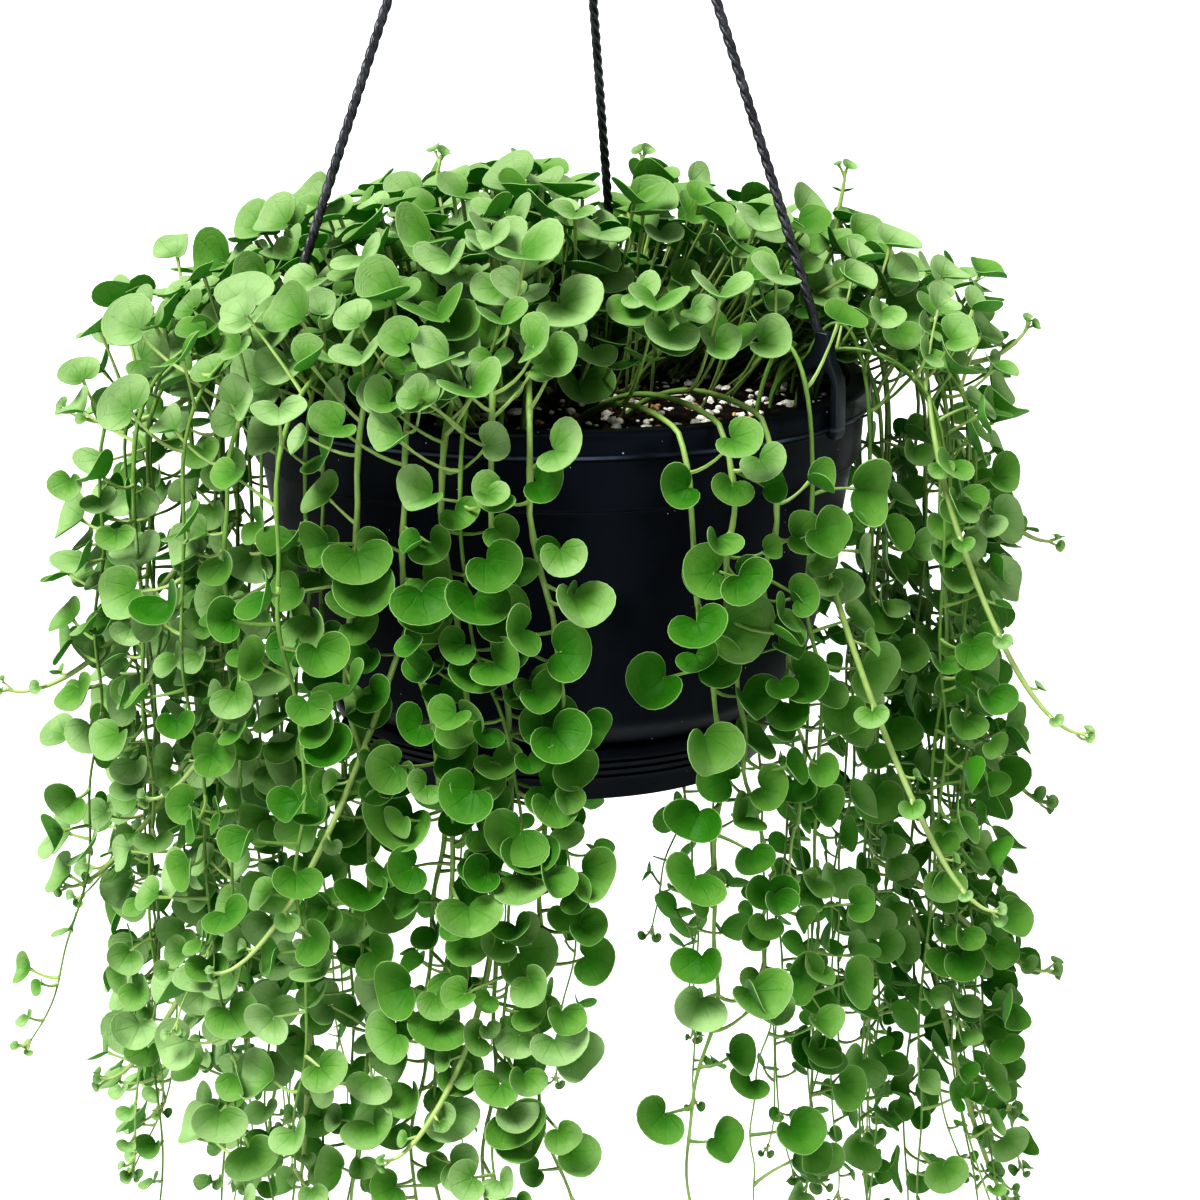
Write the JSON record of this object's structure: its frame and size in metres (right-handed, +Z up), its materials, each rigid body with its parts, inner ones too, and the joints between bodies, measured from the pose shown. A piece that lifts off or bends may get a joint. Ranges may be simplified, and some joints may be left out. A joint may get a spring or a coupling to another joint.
{
  "type": "potted green falls dichondra",
  "caption": "Black hanging pot with drip tray and hook, planted with a trailing plant whose round kidney-shaped leaves mound over the rim and hang far below it.",
  "frame": {"origin": "the hook's bearing point, on the pot's axis", "axes": "+Z up along the pot's axis; -Y is the side that the picture shows, with the open view of the pot"},
  "size_m": [0.397, 0.3506, 0.7398],
  "materials": {
    "pot_plastic": "black moulded plastic, low sheen",
    "cord_plastic": "charcoal twisted cord, soft gloss",
    "potting_mix": "dark crumbly peat with white perlite",
    "leaf": "soft matte green leaves with pale edges on yellow-green stems"
  },
  "bodies": {
    "root": {"pot": "pot_plastic", "drip_tray": "pot_plastic", "clip_right": "pot_plastic", "clip_back": "pot_plastic", "clip_left": "pot_plastic", "hub_hook": "pot_plastic", "strand_right": "cord_plastic", "strand_back": "cord_plastic", "strand_left": "cord_plastic", "potting_mix": "potting_mix", "crown": "leaf", "stem_01": "leaf", "stem_02": "leaf", "stem_03": "leaf", "stem_04": "leaf", "stem_05": "leaf", "stem_06": "leaf", "stem_07": "leaf", "stem_08": "leaf", "stem_09": "leaf", "stem_10": "leaf", "stem_11": "leaf", "stem_12": "leaf", "stem_13": "leaf", "stem_14": "leaf", "stem_15": "leaf", "stem_16": "leaf", "stem_17": "leaf", "stem_18": "leaf", "stem_19": "leaf", "stem_20": "leaf", "stem_21": "leaf", "stem_22": "leaf", "stem_23": "leaf", "stem_24": "leaf", "stem_25": "leaf", "stem_26": "leaf", "stem_27": "leaf", "stem_28": "leaf", "stem_29": "leaf", "stem_30": "leaf", "stem_31": "leaf", "stem_32": "leaf", "stem_33": "leaf", "stem_34": "leaf", "stem_35": "leaf", "stem_36": "leaf", "stem_37": "leaf"}
  },
  "joints": []
}
